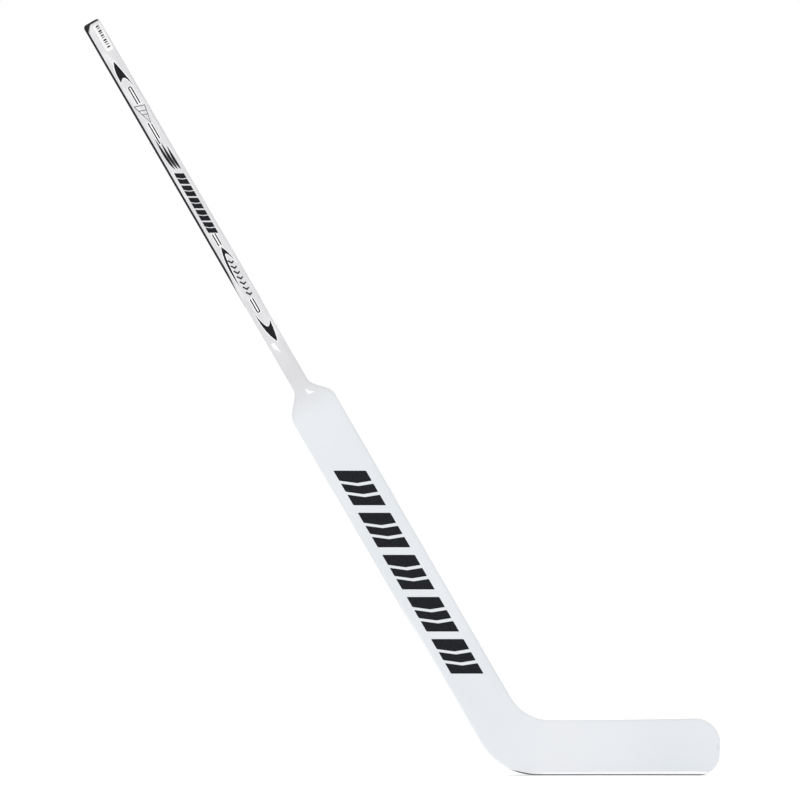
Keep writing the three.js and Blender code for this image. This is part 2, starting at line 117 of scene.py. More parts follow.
# Driving dimensions that no single corner of the CAD model gives
BLADE_HEIGHT = 86 * MM
TOE_FLARE = 4 * MM  # how much taller the blade is at its toe
TOE_DEPTH = 12 * MM
TOE_BOW = 14 * MM  # how far the toe curves forward
OUTER_SHOULDER = (660 * MM, 704 * MM)  # foot and top of the widening, on each edge
INNER_SHOULDER = (668 * MM, 708 * MM)
HEEL_OUTER_RADIUS = 108 * MM
HEEL_INNER_RADIUS = 72 * MM
TOE_TOP_RADIUS = 40 * MM
TOE_SOLE_RADIUS = 33 * MM
SHAFT_ROUND = 4.5 * MM  # rounding of the long edges
PADDLE_ROUND = 7 * MM
BLADE_TOP_ROUND = 4.5 * MM
BLADE_SOLE_ROUND = 2.5 * MM
HEEL_RUN = 130 * MM  # travel round the heel, from the paddle to the straight blade
TIP_RUN = 68 * MM  # travel round the toe
THINNING_ROUND = 0.15  # how gently the blade starts to thin, as a share of its length

LAMINATE = 1.1 * MM  # thickness of the glass-fibre laminates
UNDER = 1.3 * MM  # how deep under the surface the pieces beneath them start
SHAFT_LAMINATE = 0.9 * MM
PLY = 5 * MM
PLANED = 1.5 * MM  # how much is planed off a ply where the paddle is built round it
STRIP_DEPTH = 8 * MM  # of the sole strip, into the blade
STRIP_RECESS = 0.15 * MM
# where the strip shows along the sole, its dark grey is painted shade under the sole's rounding
STRIP_SHOWING = 0.9  # how far round the sole's rounding the strip shows, from 0 to 1
STRIP_START_X = (-100 * MM, -55 * MM)  # where the strip starts to show and shows fully
STRIP_END = (0.1, 0.5)  # of the way round the toe, where it starts to hide and is hidden
CAP_ROUND = 5 * MM
PLUG = {"half": 4.5 * MM, "length": 16 * MM, "round": 1 * MM}
FILM = 0.12 * MM  # how far the black ink stands on a face
WHITE_FILM = 0.07 * MM
SUNK = 0.1 * MM  # how far a film of ink reaches under the face
BAND_SUNK = 0.05 * MM
BAND_FADE = (440 * MM, 505 * MM)  # travels where the black bands start to narrow and are narrowest
BAND_NARROWEST = 0.98  # how much of each rounded corner they leave bare there
LABEL = 0.15 * MM  # how far the paper label stands on the face
LABEL_INK = 0.19 * MM
JOINT = 0.02 * MM  # gap where a side ply meets the cap and the paddle's laminates
WEAVE_PITCH = 140  # waves of the cloth's weave, by the wave texture's scale

# The printed marks
RAIL_WIDTH = 2 * MM
RAIL_SPREAD = 2.1 * MM  # of the middle of each rail of a pair, from the line between them
THIN_LINE = 1.4 * MM
KEYLINE = 1 * MM  # how far the white line stands out round a black mark
CHEVRON_MIDDLE = 2.5 * MM  # of the small chevrons, across the shaft
CHEVRON_HALF = 4 * MM
CHEVRON_LINE = 2.3 * MM
CHEVRON_DIP = 4 * MM
TILE_DIP = 0.07  # depth of a tile's chevron slots, as a share of its height
TILE_SLOT = 0.085  # width of such a slot, as a share of the tile's height
PADDLE_TILES = {
    "count": 5,
    "top": 808.8 * MM,
    "pitch": 76 * MM,
    "height": 62.4 * MM,
    "left": -23 * MM,
    "right": 21 * MM,
    "corner": 1.5 * MM,
    "slots": (0.29, 0.61),
}
SHAFT_TILES = {
    "count": 5,
    "top": 272.5 * MM,
    "pitch": 22 * MM,
    "height": 19.2 * MM,
    "left": -5.6 * MM,
    "right": 7.8 * MM,
    "corner": 0.4 * MM,
    "slots": (0.42,),
}

# Colours
WHITE = (0.66, 0.69, 0.715)
WHITE_LIGHT = (0.745, 0.75, 0.78)
SILVER = (0.61, 0.61, 0.625)
# the lighter silver of the painted reflections in the lacquer
SILVER_REFLECTION = (0.715, 0.715, 0.725)
BLACK = (0.012, 0.012, 0.015)
EDGE_HIGHLIGHT_WHITE = (0.95, 0.95, 0.955)  # painted highlight on the rounding of the heel's side and just above the sole
RUBBED = (0.55, 0.55, 0.56)

# The camera looks at the front face, level, from a little to the heel's side
LENS = 400
SENSOR = 36
VIEW_WIDTH = 1.25  # of what it sees at the stick
AIM = Vector((-0.2482, 0, 0.5863))
AZIMUTH = math.radians(-1.5)
FLOOR_RADIUS = 40

# Facets of the fine surfaces
WALL_SHARE = 0.2  # share of an edge's facets on the flat of the narrow side
EDGE_STEPS = 14
FACE_STEPS = 10
CORNER_STEPS = 10


# ---------------------------------------------------------------------------------------------
# Paths of the two edges. Travel is the distance along the stick from the butt. The outer edge is
# the heel's side and then the sole, and the inner edge is the other side and the blade's top.

BEND = math.pi / 2 - LEAN
HEEL_TRAVEL = BUTT_HEIGHT - HEEL_TOP
BLADE_TRAVEL = HEEL_TRAVEL + HEEL_RUN
TOE_START_X = TOE_X - TOE_TOP_RADIUS
TOE_TRAVEL = BLADE_TRAVEL + TOE_START_X - BLADE_START_X
END_TRAVEL = TOE_TRAVEL + TIP_RUN


def lerp(a, b, share):
    return a + (b - a) * share


def smoothstep(value, start, end):
    share = min(1, max(0, (value - start) / (end - start)))
    return share * share * (3 - 2 * share)


def on_shaft(height, offset):
    """A point beside the shaft's centre line, as (x, z)."""
    x = FOOT_X - height * math.sin(LEAN) + offset * math.cos(LEAN)
    z = height * math.cos(LEAN) + offset * math.sin(LEAN)
    return Vector((x, z))


def half_width(height, shoulder):
    foot, top = shoulder
    return lerp(PADDLE_WIDTH, SHAFT_WIDTH, smoothstep(height, foot, top)) / 2


def round_heel(offset, level, radius, share):
    """A point on an edge as it goes down the paddle, round the bend and along the level."""
    start = on_shaft(HEEL_TOP, offset)
    corner_x = FOOT_X + (offset - level * math.sin(LEAN)) / math.cos(LEAN)
    centre = Vector((corner_x + radius * math.tan(BEND / 2), level + radius))
    bend_start = centre + radius * Vector((-math.cos(LEAN), -math.sin(LEAN)))
    down = (bend_start - start).length
    level_run = max(0, BLADE_START_X - centre.x)
    distance = share * (down + radius * BEND + level_run)
    if distance < down:
        return start.lerp(bend_start, distance / down)
    angle = min(BEND, (distance - down) / radius)
    past = distance - down - radius * angle
    turn = math.pi + LEAN + angle
    return centre + Vector((radius * math.cos(turn) + past, radius * math.sin(turn)))


def blade_share(x):
    return max(0, (x - BLADE_START_X) / (TOE_X - BLADE_START_X))


def blade_top(x):
    return BLADE_HEIGHT + TOE_FLARE * blade_share(x) ** 2


TIP_HEIGHT = (blade_top(TOE_X) - TOE_TOP_RADIUS + TOE_SOLE_RADIUS) / 2


def round_toe(start, radius, base, side, share):
    """A point on an edge as it runs level, round its corner of the toe and on to the tip.

    start is where it leaves the blade, base gives its level at x and side is 1 if it rises."""
    level_run = TOE_X - radius - start
    rise = abs(TIP_HEIGHT - base(TOE_X)) - radius
    distance = share * (level_run + radius * math.pi / 2 + rise)
    if distance < level_run:
        return Vector((start + distance, base(start + distance)))
    angle = min(math.pi / 2, (distance - level_run) / radius)
    past = distance - level_run - radius * angle
    x = TOE_X - radius + radius * math.sin(angle)
    return Vector((x, base(x) + side * (radius * (1 - math.cos(angle)) + past)))


def outer_path(travel):
    if travel <= HEEL_TRAVEL:
        height = BUTT_HEIGHT - travel
        return on_shaft(height, -half_width(height, OUTER_SHOULDER))
    if travel <= BLADE_TRAVEL:
        share = (travel - HEEL_TRAVEL) / (BLADE_TRAVEL - HEEL_TRAVEL)
        return round_heel(-PADDLE_WIDTH / 2, 0, HEEL_OUTER_RADIUS, share)
    if travel <= TOE_TRAVEL:
        return Vector((BLADE_START_X + travel - BLADE_TRAVEL, 0))
    share = (travel - TOE_TRAVEL) / (END_TRAVEL - TOE_TRAVEL)
    return round_toe(TOE_START_X, TOE_SOLE_RADIUS, lambda x: 0, 1, share)


def inner_path(travel):
    if travel <= HEEL_TRAVEL:
        height = BUTT_HEIGHT - travel
        return on_shaft(height, half_width(height, INNER_SHOULDER))
    if travel <= BLADE_TRAVEL:
        share = (travel - HEEL_TRAVEL) / (BLADE_TRAVEL - HEEL_TRAVEL)
        return round_heel(PADDLE_WIDTH / 2, BLADE_HEIGHT, HEEL_INNER_RADIUS, share)
    if travel <= TOE_TRAVEL:
        x = BLADE_START_X + travel - BLADE_TRAVEL
        return Vector((x, blade_top(x)))
    share = (travel - TOE_TRAVEL) / (END_TRAVEL - TOE_TRAVEL)
    return round_toe(TOE_START_X, TOE_TOP_RADIUS, blade_top, -1, share)


def direction_at(path, travel):
    step = 0.05 * MM
    ahead = path(min(END_TRAVEL, travel + step))
    behind = path(travel - step)
    return (ahead - behind).normalized()


def half_depth(travel, x):
    if travel <= HEEL_TRAVEL:
        widened = 1 - smoothstep(BUTT_HEIGHT - travel, OUTER_SHOULDER[0], WRAP_TOP)
        return lerp(SHAFT_DEPTH, PADDLE_DEPTH, widened) / 2
    if travel <= BLADE_TRAVEL:
        return lerp(PADDLE_DEPTH, HEEL_DEPTH, smoothstep(travel, HEEL_TRAVEL, BLADE_TRAVEL)) / 2
    start = THINNING_ROUND
    thinned = (math.hypot(blade_share(x), start) - start) / (math.hypot(1, start) - start)
    return lerp(HEEL_DEPTH, TOE_DEPTH, thinned) / 2


def bow(x):
    return -TOE_BOW * blade_share(x) ** 2


def rounding(travel, last):
    """Radius of a long edge: it grows at the shoulder and shrinks again round the heel."""
    widened = 1 - smoothstep(BUTT_HEIGHT - travel, OUTER_SHOULDER[0], WRAP_TOP)
    paddle = lerp(SHAFT_ROUND, PADDLE_ROUND, widened)
    return lerp(paddle, last, smoothstep(travel, HEEL_TRAVEL, BLADE_TRAVEL))


Edge = namedtuple("Edge", "place inward radius")
Station = namedtuple("Station", "travel outer inner")


def station_at(travel):
    """The line across the stick at a travel: where its two edges are and which way is inwards."""
    down = direction_at(outer_path, travel)
    outer_inward = Vector((-down.y, down.x))
    outer = Edge(outer_path(travel), outer_inward, rounding(travel, BLADE_SOLE_ROUND))
    down = direction_at(inner_path, travel)
    inner_inward = Vector((down.y, -down.x))
    inner = Edge(inner_path(travel), inner_inward, rounding(travel, BLADE_TOP_ROUND))
    return Station(travel, outer, inner)


def evenly(start, end, steps):
    return [lerp(start, end, i / steps) for i in range(steps + 1)]


def stations_between(start, end):
    """Stations close together where the outline bends, and far apart where it is straight."""
    shoulder_end = BUTT_HEIGHT - OUTER_SHOULDER[0]
    stretches = [
        (BUTT_HEIGHT - WRAP_TOP, shoulder_end, 30),
        (shoulder_end, HEEL_TRAVEL, 12),
        (HEEL_TRAVEL, BLADE_TRAVEL, 40),
        (BLADE_TRAVEL, TOE_TRAVEL, 32),
        (TOE_TRAVEL, END_TRAVEL, 44),
    ]
    travels = {start, end}
    for a, b, steps in stretches:
        travels.update(t for t in evenly(a, b, steps) if start < t < end)
    return [station_at(travel) for travel in sorted(travels)]


# ---------------------------------------------------------------------------------------------
# Meshes. A spot is a point of a surface and its place on the stick, for the materials:
# travel, distance across from the centre line and turn (0 on a wide face, 1 on a narrow side).

Spot = namedtuple("Spot", "place travel across turn")


def make_piece(name, spots, faces, material, replaced=(), smooth_angle=35):
    """One closed mesh from spots and faces, riding on the stick."""
    mesh = bpy.data.meshes.new(name)
    mesh.from_pydata([spot.place for spot in spots], [], faces)
    stick = mesh.attributes.new("stick", "FLOAT_VECTOR", "POINT")
    for i, spot in enumerate(spots):
        stick.data[i].vector = (spot.travel, spot.across, spot.turn)
    work = bmesh.new()
    work.from_mesh(mesh)
    bmesh.ops.remove_doubles(work, verts=work.verts, dist=0.001 * MM)
    bmesh.ops.dissolve_degenerate(work, edges=work.edges, dist=0.0005 * MM)
    bmesh.ops.recalc_face_normals(work, faces=work.faces)
    work.to_mesh(mesh)
    work.free()
    mesh.shade_smooth()
    mesh.set_sharp_from_angle(angle=math.radians(smooth_angle))
    mesh.materials.append(material)
    piece = bpy.data.objects.new(name, mesh)
    bpy.context.scene.collection.objects.link(piece)
    bpy.context.view_layer.update()
    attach(piece, "root")
    if replaced:
        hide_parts(*replaced)


def shell(outside, inside):
    """Spots and faces of a closed sheet between two grids of spots."""
    rows, columns = len(outside), len(outside[0])
    spots = [spot for grid in (outside, inside) for row in grid for spot in row]

    def at(grid, cell):
        return (grid * rows + cell[0]) * columns + cell[1]

    faces = []
    for r in range(rows - 1):
        for c in range(columns - 1):
            cells = [(r, c), (r + 1, c), (r + 1, c + 1), (r, c + 1)]
            faces.append([at(0, cell) for cell in cells])
            faces.append([at(1, cell) for cell in reversed(cells)])
    border = [(0, c) for c in range(columns)]
    border += [(r, columns - 1) for r in range(1, rows)]
    border += [(rows - 1, c) for c in range(columns - 2, -1, -1)]
    border += [(r, 0) for r in range(rows - 2, 0, -1)]
    for a, b in zip(border, border[1:] + border[:1]):
        faces.append([at(0, a), at(0, b), at(1, b), at(1, a)])
    return spots, faces


def loft(rings):
    """Spots and faces of a solid through rings of spots, with flat ends."""
    count = len(rings[0])
    spots = [spot for ring in rings for spot in ring]
    faces = []
    for r in range(len(rings) - 1):
        for i in range(count):
            here = r * count + i
            beside = r * count + (i + 1) % count
            faces.append([here, beside, beside + count, here + count])
    last = (len(rings) - 1) * count
    faces.append(list(range(count - 1, -1, -1)))
    faces.append([last + i for i in range(count)])
    return spots, faces


# ---------------------------------------------------------------------------------------------
# Sections across the stick


def edge_spot(station, edge, side, inset, share):
    """A spot on a long edge, from the middle of the narrow side (0) to the wide face (1)."""
    radius = edge.radius - inset
    turn = max(0, share - WALL_SHARE) / (1 - WALL_SHARE) * math.pi / 2
    place = edge.place + edge.inward * (inset + radius * (1 - math.cos(turn)))
    wall = half_depth(station.travel, place.x) - inset - radius
    depth = wall * min(1, share / WALL_SHARE) + radius * math.sin(turn)
    offset = (edge.place - (station.outer.place + station.inner.place) / 2).length
    across = math.copysign(offset, -1 if edge is station.outer else 1)
    point = Vector((place.x, bow(place.x) + side * depth, place.y))
    return Spot(point, station.travel, across, 1 - turn / (math.pi / 2))


def face_spots(station, side, inset, start, end):
    """The spots on a wide face between the last spot of one edge and the first of the other."""
    spots = []
    for share in evenly(0, 1, FACE_STEPS)[1:-1]:
        across = lerp(start.across, end.across, share)
        x, z = lerp(start.place.x, end.place.x, share), lerp(start.place.z, end.place.z, share)
        depth = half_depth(station.travel, x) - inset
        spots.append(Spot(Vector((x, bow(x) + side * depth, z)), station.travel, across, 0))
    return spots


def strip_share(station):
    """How fully the sole strip shows at a station, from 0 to 1."""
    starting = smoothstep(station.outer.place.x, *STRIP_START_X)
    toe_share = (station.travel - TOE_TRAVEL) / (END_TRAVEL - TOE_TRAVEL)
    return starting * (1 - smoothstep(toe_share, *STRIP_END))


def laminate_row(station, side, inset):
    """From the outer edge, across a wide face, to the middle of the inner edge."""
    lip = STRIP_SHOWING * strip_share(station)
    outer = [edge_spot(station, station.outer, side, inset, s) for s in evenly(lip, 1, EDGE_STEPS)]
    inner = [edge_spot(station, station.inner, side, inset, s) for s in evenly(1, 0, EDGE_STEPS)]
    return outer + face_spots(station, side, inset, outer[-1], inner[0]) + inner


def strip_ring(station):
    """The sole strip: its showing edge, its ledges under the laminates and its flat inner side."""
    showing = strip_share(station)
    lip = STRIP_SHOWING * showing
    recess = lerp(UNDER, STRIP_RECESS, smoothstep(showing, 0, 0.25))
    halves = []
    for side in (-1, 1):
        shown = [edge_spot(station, station.outer, side, recess, s) for s in evenly(0, lip, 8)]
        under = [edge_spot(station, station.outer, side, UNDER, s) for s in evenly(lip, 1, 8)]
        place = station.outer.place + station.outer.inward * STRIP_DEPTH
        depth = half_depth(station.travel, place.x) - UNDER
        corner = Vector((place.x, bow(place.x) + side * depth, place.y))
        halves.append(shown[1:] + under + [Spot(corner, station.travel, shown[0].across, 0)])
    front, back = halves
    middle = edge_spot(station, station.outer, 1, recess, 0)
    return [middle] + back + front[::-1]


def toe_ring(station):
    """The toe block, between the sole strip and the laminate round the top of the toe."""
    halves = []
    for side in (-1, 1):
        rounded = [edge_spot(station, station.inner, side, UNDER, s) for s in evenly(0, 1, 8)]
        place = station.outer.place + station.outer.inward * (STRIP_DEPTH + 0.3 * MM)
        depth = half_depth(station.travel, place.x) - UNDER
        corner = Vector((place.x, bow(place.x) + side * depth, place.y))
        halves.append(rounded + [Spot(corner, station.travel, 0, 0)])
    front, back = halves
    return back + front[:0:-1]


def shaft_spot(height, across, depth, turn):
    x, z = on_shaft(height, across)
    return Spot(Vector((x, depth, z)), BUTT_HEIGHT - height, across, turn)


def rounded_corner(height, across_side, depth_side, width, depth, radius):
    """A rounded corner of the shaft's section, from its narrow side to its wide face."""
    spots = []
    for angle in evenly(0, math.pi / 2, CORNER_STEPS):
        across = across_side * (width - radius + radius * math.cos(angle))
        along_depth = depth_side * (depth - radius + radius * math.sin(angle))
        spots.append(shaft_spot(height, across, along_depth, 1 - angle / (math.pi / 2)))
    return spots


def box_ring(height, half, half_deep, radius):
    """A rounded rectangle across the shaft."""
    corners = [(1, 1), (-1, 1), (-1, -1), (1, -1)]
    ring = []
    for i, (across_side, depth_side) in enumerate(corners):
        corner = rounded_corner(height, across_side, depth_side, half, half_deep, radius)
        ring += corner if i % 2 == 0 else corner[::-1]
    return ring


def ply_ring(height, side, planed):
    """A ply: rounded on the narrow side of the shaft, and square where it meets the core."""
    half = SHAFT_WIDTH / 2 - planed
    half_deep = SHAFT_DEPTH / 2 - planed
    radius = SHAFT_ROUND - planed
    back = rounded_corner(height, side, 1, half, half_deep, radius)
    front = rounded_corner(height, side, -1, half, half_deep, radius)
    square = side * (SHAFT_WIDTH / 2 - PLY)
    square_back = shaft_spot(height, square, half_deep, 0)
    square_front = shaft_spot(height, square, -half_deep, 0)
    return back + [square_back, square_front] + front[::-1]


# ---------------------------------------------------------------------------------------------
# Printed outlines, as (travel, across) on a face of the shaft or paddle


def curve(start, pull, end, steps=10):
    """Points of a curve that leaves start and nears end, drawn towards pull on the way."""
    points = []
    for share in evenly(0, 1, steps)[:-1]:
        first = start.lerp(pull, share)
        second = pull.lerp(end, share)
        points.append(first.lerp(second, share))
    return points


def curved_outline(*corners):
    """A closed outline through (point, pull) pairs, where pull shapes the side that follows."""
    points = []
    for i, (start, pull) in enumerate(corners):
        points += curve(start, pull, corners[(i + 1) % len(corners)][0])
    return points


def moved_sideways(points, distance, closed):
    """The points moved to the left of the way they run, with square corners kept square."""
    moved = []
    count = len(points)
    for i, point in enumerate(points):
        before = points[i - 1] if closed or i > 0 else point * 2 - points[1]
        after = points[(i + 1) % count] if closed or i < count - 1 else point * 2 - points[-2]
        left_in = Vector((before.y - point.y, point.x - before.x)).normalized()
        left_out = Vector((point.y - after.y, after.x - point.x)).normalized()
        left = (left_in + left_out).normalized()
        moved.append(point + left * distance / max(0.5, left.dot(left_out)))
    return moved


def grown(points, distance):
    """The closed outline, larger by a distance all round."""
    pairs = zip(points, points[1:] + points[:1])
    area = sum(a.x * b.y - b.x * a.y for a, b in pairs)
    return moved_sideways(points, -distance if area > 0 else distance, True)


def stroke(points, width):
    """The closed outline of an open line of some width."""
    left = moved_sideways(points, width / 2, False)
    right = moved_sideways(points, -width / 2, False)
    return left + right[::-1]


def rounded(points, radius):
    """The closed outline with its corners rounded."""
    result = []
    for i, point in enumerate(points):
        before = points[i - 1] - point
        after = points[(i + 1) % len(points)] - point
        start = point + before.normalized() * radius
        end = point + after.normalized() * radius
        result += curve(start, point, end, 5) + [end]
    return result


def at_mm(travel, across):
    return Vector((travel, across)) * MM


def fin(tip, outer_prong, inner_prong, apex, swells):
    """A swept arrowhead: bulging sides from its tip, and a hollow between its two prongs."""

    def bulge(prong, swell):
        return tip.lerp(prong, 0.36) + at_mm(0, swell)

    def hollow(prong):
        return Vector((apex.x, lerp(apex.y, prong.y, 0.5)))

    return curved_outline(
        (tip, bulge(outer_prong, swells[0])),
        (outer_prong, hollow(outer_prong)),
        (apex, hollow(inner_prong)),
        (inner_prong, bulge(inner_prong, swells[1])),
    )


def slash(top, foot, belly):
    """A slim claw stroke from top to foot, swollen towards the outer edge."""
    outer_pull = top.lerp(foot, 0.75) - Vector((0, belly))
    inner_pull = top.lerp(foot, 0.6) + Vector((0, belly * 0.18))
    return curved_outline((top, outer_pull), (foot, inner_pull))


def rail(start, end, across):
    return stroke([at_mm(start, across), at_mm(end, across)], RAIL_WIDTH)


def closed_rails(open_end, closed_end, across):
    """Two rails joined by a round end."""
    way = 1 if closed_end > open_end else -1
    centre = at_mm(closed_end, across) - Vector((way * RAIL_SPREAD, 0))
    points = [at_mm(open_end, across) - Vector((0, RAIL_SPREAD))]
    for angle in evenly(-math.pi / 2, math.pi / 2, 10):
        points.append(centre + RAIL_SPREAD * Vector((way * math.cos(angle), math.sin(angle))))
    points.append(at_mm(open_end, across) + Vector((0, RAIL_SPREAD)))
    return stroke(points, RAIL_WIDTH)


def level_point(travel, across):
    """A point at the same level above the ice as the centre line has at a travel."""
    return Vector((travel + across * math.tan(LEAN), across))


def tile(top, height, left, right, corner, slots):
    """A slanted tile, level at top and bottom, in pieces parted by chevron slots."""
    middle = (left + right) / 2
    dip = TILE_DIP * height

    def band(start, end, start_dip, end_dip):
        start, end = top + start * height, top + end * height
        return [
            level_point(start, left),
            level_point(start + start_dip, middle),
            level_point(start, right),
            level_point(end, right),
            level_point(end + end_dip, middle),
            level_point(end, left),
        ]

    starts = [0] + [slot + TILE_SLOT for slot in slots]
    ends = [*slots, 1]
    pieces = []
    for start, end in zip(starts, ends):
        start_dip = dip if start > 0 else 0
        end_dip = dip if end < 1 else 0
        pieces.append(rounded(band(start, end, start_dip, end_dip), corner))
    return pieces


def tiles(count, top, pitch, **shape):
    pieces = []
    for i in range(count):
        pieces += tile(top + i * pitch, **shape)
    return pieces


def small_chevron(travel):
    points = [
        level_point(travel * MM, CHEVRON_MIDDLE - CHEVRON_HALF),
        level_point(travel * MM + CHEVRON_DIP, CHEVRON_MIDDLE),
        level_point(travel * MM, CHEVRON_MIDDLE + CHEVRON_HALF),
    ]
    return stroke(points, CHEVRON_LINE)


def shaft_marks():
    """The black marks down the shaft, and those of them that have a white line round them."""
    fins = [
        fin(at_mm(71, 0.6), at_mm(107, -6.1), at_mm(127, 10), at_mm(101, 1), (-5.6, 1.6)),
        fin(at_mm(405.5, 0.3), at_mm(476, -5.5), at_mm(437, 9), at_mm(418, 0.8), (-8, 3.6)),
        fin(at_mm(577, 3), at_mm(523, -6.7), at_mm(541, 9.4), at_mm(549.5, 1.8), (-7.5, 2.2)),
    ]
    slashes = [
        slash(at_mm(208 + 9 * i, -4.4 + 5.4 * i), at_mm(265 + 2 * i, -0.8 + 4.2 * i), 7 * MM)
        for i in range(3)
    ]
    rails = [
        closed_rails(148, 118, 1.8),
        rail(181, 219, -1.3),
        rail(185, 211, 2.7),
        rail(382, 403, -1.6),
        rail(382, 403, 2.6),
        closed_rails(499, 523, 0.7),
    ]
    chevrons = [small_chevron(430 + 9.5 * i) for i in range(7)]
    keylines = [grown(points, KEYLINE) for points in fins + rails]
    return {
        "ink_fins": fins,
        "ink_slashes": slashes,
        "ink_rails": rails,
        "ink_chevrons": chevrons,
        "ink_shaft_tiles": tiles(**SHAFT_TILES),
    }, keylines


def badge_outline():
    """A plain kite drawn in one thin line, with two bars across it."""
    left, right, foot = at_mm(148.5, -7.6), at_mm(154, 8.4), at_mm(183, 3)
    marks = [stroke([left, right, foot, left.lerp(foot, 0.03)], THIN_LINE)]
    for share in (0.28, 0.5):
        marks.append(stroke([left.lerp(foot, share), right.lerp(foot, share)], THIN_LINE))
    return marks


def glint_highlights():
    """Two small painted highlights, as flicks of white film below the lowest fin and on the inner
    shoulder.
    """
    lower = [at_mm(576, -8.3), at_mm(576, -3), at_mm(585, -2.3), at_mm(594.5, -1.2), at_mm(583, -8)]
    upper = [at_mm(662, 2.7), at_mm(667.4, 6.2), at_mm(673.7, 12.9), at_mm(672.8, 3)]
    return [rounded(lower, 1 * MM), rounded(upper, 1 * MM)]


def label_marks():
    """A row of plain bars of uneven widths on the label."""
    widths = (2.2, 1.2, 2.8, 1.6, 2.2, 1.2, 2.6, 1.8, 1.2, 2.4)
    marks = []
    for i, width in enumerate(widths):
        start = 10 + 4 * i
        corners = [(start, 3.2), (start + width, 3.2), (start + width, 8.2), (start, 8.2)]
        marks.append([at_mm(*corner) for corner in corners])
    return marks


def face_height(travel, across):
    """How far the surface stands from the middle of the stick at a point on its wide face."""
    height = BUTT_HEIGHT - travel
    edge = half_width(height, INNER_SHOULDER if across > 0 else OUTER_SHOULDER)
    radius = rounding(travel, PADDLE_ROUND)
    into = min(radius, max(0, abs(across) - (edge - radius)))
    return half_depth(travel, 0) - radius + math.sqrt(radius**2 - into**2)


def film(outlines, side, thickness):
    """Spots and faces of thin closed films, one for each outline."""
    spots, faces = [], []
    for points in outlines:
        count = len(points)
        first = len(spots)
        for lift in (thickness, -SUNK):
            for travel, across in points:
                x, z = on_shaft(BUTT_HEIGHT - travel, across)
                y = side * (face_height(travel, across) + lift)
                spots.append(Spot(Vector((x, y, z)), travel, across, 0))
        for i in range(count):
            beside = (i + 1) % count
            faces.append([first + i, first + beside, first + count + beside, first + count + i])
        faces.append([first + i for i in range(count)])
        faces.append([first + count + i for i in range(count - 1, -1, -1)])
    return spots, faces


# ---------------------------------------------------------------------------------------------
# Materials


def node(tree, kind, inputs, **settings):
    """Adds a shader node. An input given as a socket is linked, and any other value is set."""
    made = tree.nodes.new("ShaderNode" + kind)
    for name, value in settings.items():
        setattr(made, name, value)
    for name, value in inputs.items():
        if isinstance(value, bpy.types.NodeSocket):
            tree.links.new(value, made.inputs[name])
        else:
            made.inputs[name].default_value = value
    return made


def new_material(name, colour, roughness, coat=0.0, specular=0.5):
    """A node material, with what is the same all over it set on the shader itself."""
    material = bpy.data.materials.new(name)
    material.use_nodes = True
    material.diffuse_color = (*colour, 1)
    shader = material.node_tree.nodes["Principled BSDF"]
    shader.inputs["Base Color"].default_value = (*colour, 1)
    shader.inputs["Roughness"].default_value = roughness
    shader.inputs["Coat Weight"].default_value = coat
    shader.inputs["Coat Roughness"].default_value = 0.1
    shader.inputs["Specular IOR Level"].default_value = specular
    return material, material.node_tree, shader


def stick_place(tree):
    """The travel, across and turn of the surface point."""
    return node(tree, "Attribute", {}, attribute_name="stick").outputs["Vector"]


def stretched(tree, vector, scale, rotation=(0, 0, 0)):
    inputs = {"Vector": vector, "Scale": scale, "Rotation": rotation}
    return node(tree, "Mapping", inputs).outputs["Vector"]


def noise(tree, vector, detail=3.0):
    inputs = {"Vector": vector, "Scale": 1.0, "Detail": detail}
    return node(tree, "TexNoise", inputs).outputs["Fac"]


def ranged(tree, value, start, end, low=0.0, high=1.0):
    """A value's smooth rise from low to high as it goes from start to end."""
    inputs = {"Value": value, "From Min": start, "From Max": end, "To Min": low, "To Max": high}
    made = node(tree, "MapRange", inputs, interpolation_type="SMOOTHSTEP")
    return made.outputs["Result"]


def maths(tree, operation, a, b):
    return node(tree, "Math", {0: a, 1: b}, operation=operation).outputs["Value"]


def mixed(tree, share, a, b):
    """A colour between two colours, or sockets that give colours."""
    a, b = [(*c, 1) if isinstance(c, tuple) else c for c in (a, b)]
    return node(tree, "Mix", {0: share, 6: a, 7: b}, data_type="RGBA").outputs[2]


def bumped(tree, height, strength, distance, normal=None):
    inputs = {"Height": height, "Strength": strength, "Distance": distance}
    if normal:
        inputs["Normal"] = normal
    return node(tree, "Bump", inputs).outputs["Normal"]


def connect(tree, shader, colour=None, roughness=None, normal=None):
    for name, socket in (("Base Color", colour), ("Roughness", roughness), ("Normal", normal)):
        if socket:
            tree.links.new(socket, shader.inputs[name])


def weave_bump(tree, place, strength):
    """The faint crossed weave of glass cloth that shows through the paint."""
    strands = []
    for turn in (0.785, -0.785):
        vector = stretched(tree, place, (WEAVE_PITCH, WEAVE_PITCH, 0), (0, 0, turn))
        wave = node(tree, "TexWave", {"Vector": vector, "Scale": 1.0, "Distortion": 0.4})
        strands.append(wave.outputs["Fac"])
    crossed = maths(tree, "MULTIPLY", *strands)
    return bumped(tree, crossed, strength, 0.05 * MM)


def edge_wear(tree, place, amount):
    """Where the paint is rubbed, on the long edges: patches along the part that turns."""
    split = node(tree, "SeparateXYZ", {"Vector": place})
    on_edge = ranged(tree, split.outputs["Z"], 0.25, 0.6)
    rubbed = noise(tree, stretched(tree, place, (60, 500, 6)), 5.0)
    return maths(tree, "MULTIPLY", on_edge, ranged(tree, rubbed, 0.6, 0.75, 0, amount))


